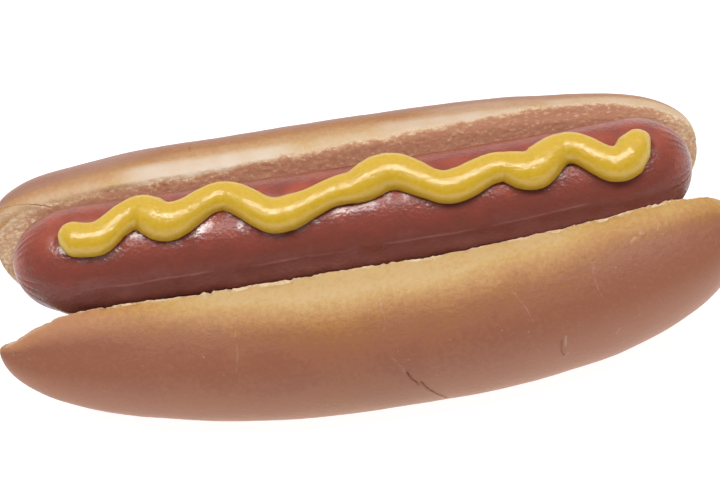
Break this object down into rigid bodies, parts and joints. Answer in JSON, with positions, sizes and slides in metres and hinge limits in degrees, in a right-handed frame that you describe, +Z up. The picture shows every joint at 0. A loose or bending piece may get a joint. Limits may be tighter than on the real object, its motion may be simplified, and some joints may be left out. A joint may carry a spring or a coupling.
{
  "type": "hot dog",
  "caption": "Smoked frankfurter lying in a long soft bun split open along one side, with a wavy bead of yellow mustard piped along the top.",
  "frame": {"origin": "centre of the whole part's footprint, on the surface that the bun rests on", "axes": "+X along the sausage, +Y from the front half of the bun to the back half, +Z up"},
  "size_m": [0.167, 0.0704, 0.0477],
  "materials": {
    "bun": "baked soft bread crust, golden brown with a pale rim and open crumb on the cut faces",
    "sausage": "moist smoked sausage skin, satin with small wet glints",
    "mustard": "smooth glossy yellow mustard"
  },
  "bodies": {
    "root": {"bun": "bun", "sausage": "sausage", "mustard": "mustard"}
  },
  "joints": []
}
